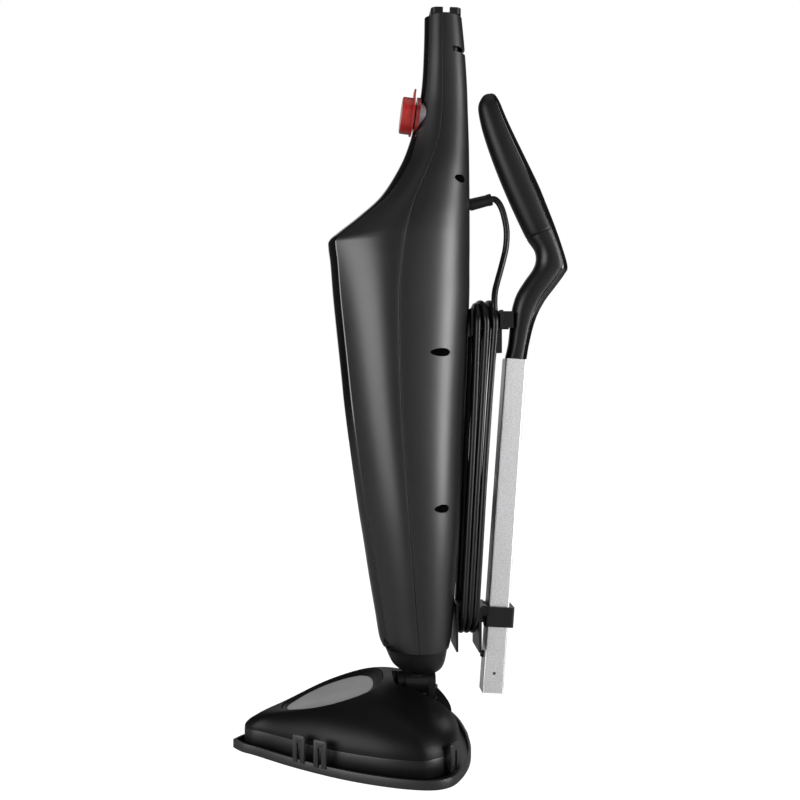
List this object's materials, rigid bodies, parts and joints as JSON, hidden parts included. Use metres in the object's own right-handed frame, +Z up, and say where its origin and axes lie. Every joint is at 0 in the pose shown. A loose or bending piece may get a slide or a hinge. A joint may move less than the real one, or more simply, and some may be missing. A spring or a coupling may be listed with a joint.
{
  "type": "steam mop",
  "caption": "Upright steam mop with a triangular floor head on a two-way swivel, and its bent handle and wound cord parked on rear brackets.",
  "frame": {"origin": "middle of the bounding box on the floor, under the glider tray", "axes": "+Z up, -Y towards the tip of the floor head, +X towards the mop's left side seen from the front"},
  "size_m": [0.244, 0.3453, 0.754],
  "materials": {
    "housing_satin": "satin moulded",
    "panel_gloss": "polished",
    "black_plastic": "fine texture",
    "inner_plastic": "moulded",
    "tank_plastic": "smoked translucent",
    "grey_plastic": "moulded",
    "boiler_aluminium": "cast",
    "hose_rubber": "silicone",
    "cap_red": "satin gloss",
    "seat_dark_red": "translucent ring",
    "cord_rubber": "smooth jacket",
    "tube_aluminium": "fine satin lacquer",
    "grip_soft": "soft touch",
    "pin_brass": "nickel plated",
    "screw_steel": "zinc plated",
    "tray_plastic": "matte moulded",
    "grey_panel": "satin grey"
  },
  "bodies": {
    "floor_head": {"glider_tray": "tray_plastic", "head_base": "black_plastic", "steam_plate": "boiler_aluminium", "head_cover": "panel_gloss", "head_panel": "grey_panel", "pivot_cradle": "black_plastic", "tilt_axle": "screw_steel"},
    "swivel": {"swivel_block": "black_plastic"},
    "housing": {"front_shell": "housing_satin", "front_panel": "panel_gloss", "rear_shell": "housing_satin", "housing_screws": "screw_steel", "screw_posts": "inner_plastic", "handle_socket": "black_plastic", "bottom_skirt": "black_plastic", "water_tank": "tank_plastic", "filler_neck": "grey_plastic", "boiler": "boiler_aluminium", "pump": "inner_plastic", "steam_hose": "hose_rubber", "cap_seat": "seat_dark_red", "cord_boot": "cord_rubber", "upper_bracket": "black_plastic", "lower_bracket": "black_plastic", "cord_winding": "cord_rubber", "cord_lead": "cord_rubber", "cord_tail": "cord_rubber", "plug_body": "black_plastic", "plug_pins": "pin_brass", "swivel_stem": "black_plastic"},
    "filler_cap": {"cap_knob": "cap_red", "cap_flange": "cap_red"},
    "handle": {"handle_tube": "tube_aluminium", "snap_spring": "screw_steel", "grip_elbow": "black_plastic", "grip_soft": "grip_soft", "grip_spine": "panel_gloss", "grip_plug": "inner_plastic"},
    "snap_button": {"snap_button": "black_plastic"}
  },
  "joints": [
    {"name": "head_tilt", "type": "hinge", "parent": "floor_head", "child": "swivel", "pos_m": [0, 0.0145, 0.044], "axis": [-1, 0, 0], "range_deg": [0, 33]},
    {"name": "head_roll", "type": "hinge", "parent": "swivel", "child": "housing", "pos_m": [0, 0.0145, 0.064], "axis": [0, 1, 0], "range_deg": [-20, 20]},
    {"name": "cap_turn", "type": "hinge", "parent": "housing", "child": "filler_cap", "pos_m": [0, 0.0153, 0.645], "axis": [0, -0.9936, 0.1132], "range_deg": [0, 90]},
    {"name": "handle_lift", "type": "slide", "parent": "housing", "child": "handle", "axis": [0, 0.0715, 0.9974], "range_m": [0, 0.1]},
    {"name": "snap_press", "type": "slide", "parent": "handle", "child": "snap_button", "axis": [0, 0.9974, -0.0715], "range_m": [0, 0.003], "stiffness_N_per_m": 400}
  ]
}
